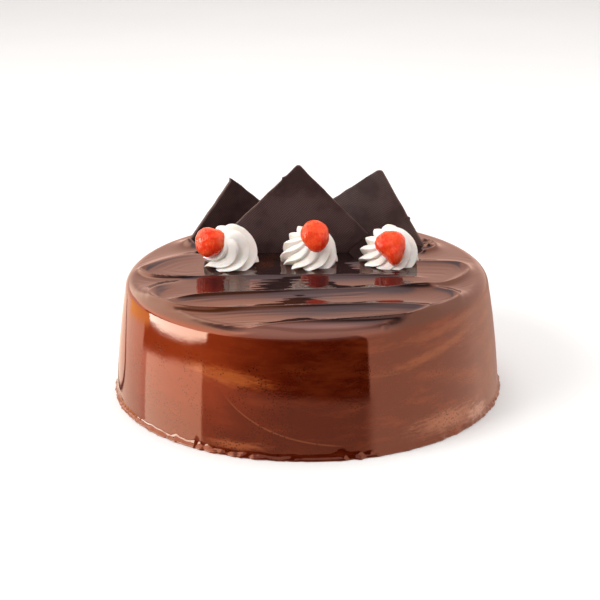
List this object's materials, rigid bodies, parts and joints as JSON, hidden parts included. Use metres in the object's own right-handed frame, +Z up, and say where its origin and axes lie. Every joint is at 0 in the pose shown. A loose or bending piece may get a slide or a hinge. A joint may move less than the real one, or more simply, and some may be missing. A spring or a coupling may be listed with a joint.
{
  "type": "hazelnut cake",
  "caption": "Whole round cake under brown chocolate glaze with knife ridges on top, dark chocolate squares standing on a corner, and cream rosettes with cherry pieces.",
  "frame": {"origin": "middle of the cake's flat underside", "axes": "+Z up out of the top; -Y towards the decorated front; +X to the right as the front is seen"},
  "size_m": [0.2, 0.2, 0.1077],
  "materials": {
    "glaze": "glossy milk chocolate glaze, faintly marbled",
    "dark_chocolate": "satin dark chocolate with fine parallel lines",
    "cream": "whipped cream, soft sheen",
    "cherry": "glossy candied fruit"
  },
  "bodies": {
    "root": {"cake": "glaze", "chocolate_square_left": "dark_chocolate", "chocolate_square_centre": "dark_chocolate", "chocolate_square_right": "dark_chocolate", "cream_rosette_left": "cream", "cream_rosette_centre": "cream", "cream_rosette_right": "cream", "cherry_left": "cherry", "cherry_centre": "cherry", "cherry_right": "cherry"}
  },
  "joints": []
}
